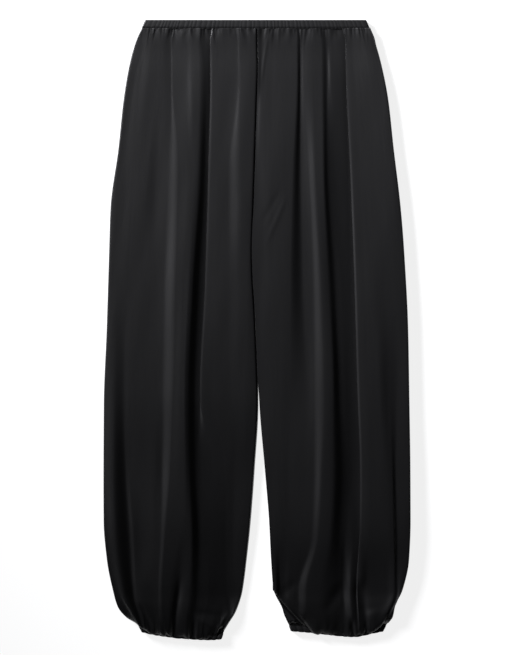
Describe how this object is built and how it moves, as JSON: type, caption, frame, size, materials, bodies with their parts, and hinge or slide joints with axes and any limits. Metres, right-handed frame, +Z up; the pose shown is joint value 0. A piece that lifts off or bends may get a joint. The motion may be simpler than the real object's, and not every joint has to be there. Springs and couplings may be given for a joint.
{
  "type": "balloon trousers",
  "caption": "Full-length balloon trousers in plain satin, laid flat, with long folds gathered into an elastic waistband and elastic hem casings",
  "frame": {"origin": "on the surface that the garment lies on, under the middle of its outline", "axes": "+X towards the wearer's left leg, +Y up the length to the waist, +Z up from the surface"},
  "size_m": [0.4944, 1, 0.034],
  "materials": {
    "satin": "black satin with a soft lengthwise sheen",
    "casing": "black satin, finely ruched over an elastic"
  },
  "bodies": {
    "root": {"front_right_leg": "satin", "front_left_leg": "satin", "back_right_leg": "satin", "back_left_leg": "satin", "waistband": "casing", "cuff_right": "casing", "cuff_left": "casing"}
  },
  "joints": []
}
